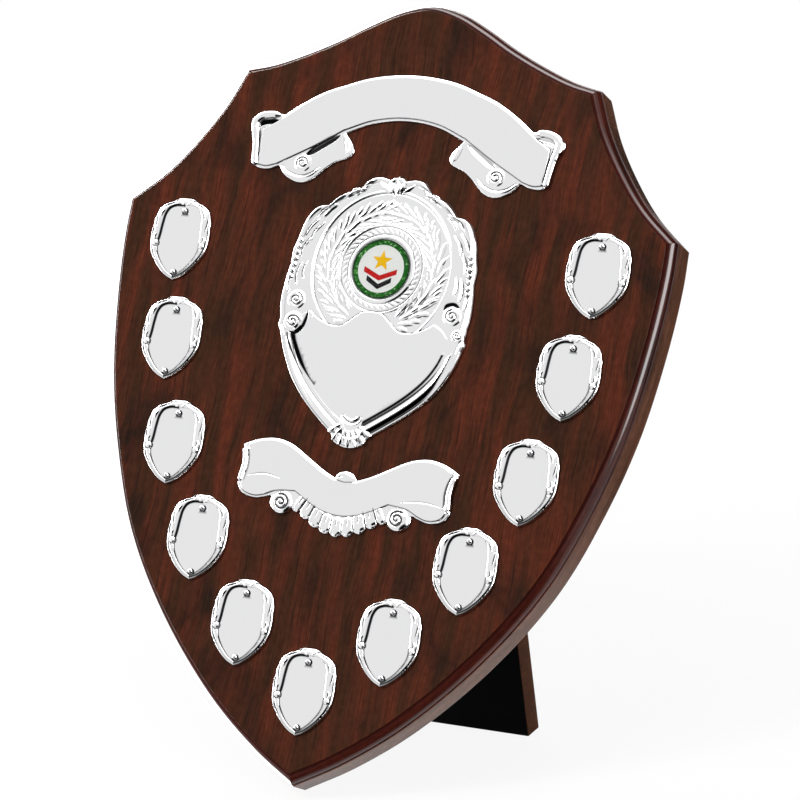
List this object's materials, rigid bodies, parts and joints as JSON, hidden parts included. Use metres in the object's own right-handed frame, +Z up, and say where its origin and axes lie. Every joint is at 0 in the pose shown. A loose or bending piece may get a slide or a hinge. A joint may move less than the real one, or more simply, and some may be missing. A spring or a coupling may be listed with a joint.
{
  "type": "perpetual award shield",
  "caption": "Shield-shaped moulded board on a hinged strut, with a large pressed centre shield, ribbon scrolls above and below it and small shields pinned round the edge.",
  "frame": {"origin": "middle of the base of the object's box, on the surface that it stands on", "axes": "+X to the viewer's right, +Y away from the viewer, +Z up; the board leans back 26 degrees and faces -Y"},
  "size_m": [0.246, 0.1586, 0.3008],
  "materials": {
    "walnut_board": "walnut-effect satin lacquer",
    "nickel_plate": "bright nickel on pressed metal",
    "printed_insert": "printed card",
    "resin_dome": "clear resin",
    "nickel_pin": "bright nickel",
    "hinge_brass": "brass plated",
    "painted_strut": "black paint, walnut-effect edges",
    "zinc_hanger": "zinc plated"
  },
  "bodies": {
    "shield": {"backboard": "walnut_board", "centre_shield": "nickel_plate", "centre_print": "printed_insert", "centre_dome": "resin_dome", "top_scroll": "nickel_plate", "lower_scroll": "nickel_plate", "side_shield_01": "nickel_plate", "side_shield_02": "nickel_plate", "side_shield_03": "nickel_plate", "side_shield_04": "nickel_plate", "side_shield_05": "nickel_plate", "side_shield_06": "nickel_plate", "side_shield_07": "nickel_plate", "side_shield_08": "nickel_plate", "side_shield_09": "nickel_plate", "side_shield_10": "nickel_plate", "side_shield_11": "nickel_plate", "pin_01_top": "nickel_pin", "pin_01_bottom": "nickel_pin", "pin_02_top": "nickel_pin", "pin_02_bottom": "nickel_pin", "pin_03_top": "nickel_pin", "pin_03_bottom": "nickel_pin", "pin_04_top": "nickel_pin", "pin_04_bottom": "nickel_pin", "pin_05_top": "nickel_pin", "pin_05_bottom": "nickel_pin", "pin_06_top": "nickel_pin", "pin_06_bottom": "nickel_pin", "pin_07_top": "nickel_pin", "pin_07_bottom": "nickel_pin", "pin_08_top": "nickel_pin", "pin_08_bottom": "nickel_pin", "pin_09_top": "nickel_pin", "pin_09_bottom": "nickel_pin", "pin_10_top": "nickel_pin", "pin_10_bottom": "nickel_pin", "pin_11_top": "nickel_pin", "pin_11_bottom": "nickel_pin", "hinge_leaf_board": "hinge_brass", "hinge_pin": "hinge_brass", "hinge_screw_board_1": "hinge_brass", "hinge_screw_board_2": "hinge_brass", "wall_hanger": "zinc_hanger", "hanger_screw_1": "zinc_hanger", "hanger_screw_2": "zinc_hanger"},
    "strut_leg": {"strut": "painted_strut", "hinge_leaf_strut": "hinge_brass", "hinge_screw_strut_1": "hinge_brass", "hinge_screw_strut_2": "hinge_brass"}
  },
  "joints": [
    {"name": "strut_fold", "type": "hinge", "parent": "shield", "child": "strut_leg", "pos_m": [0, 0.02083, 0.16981], "axis": [-1, 0, 0], "range_deg": [0, 28]}
  ]
}
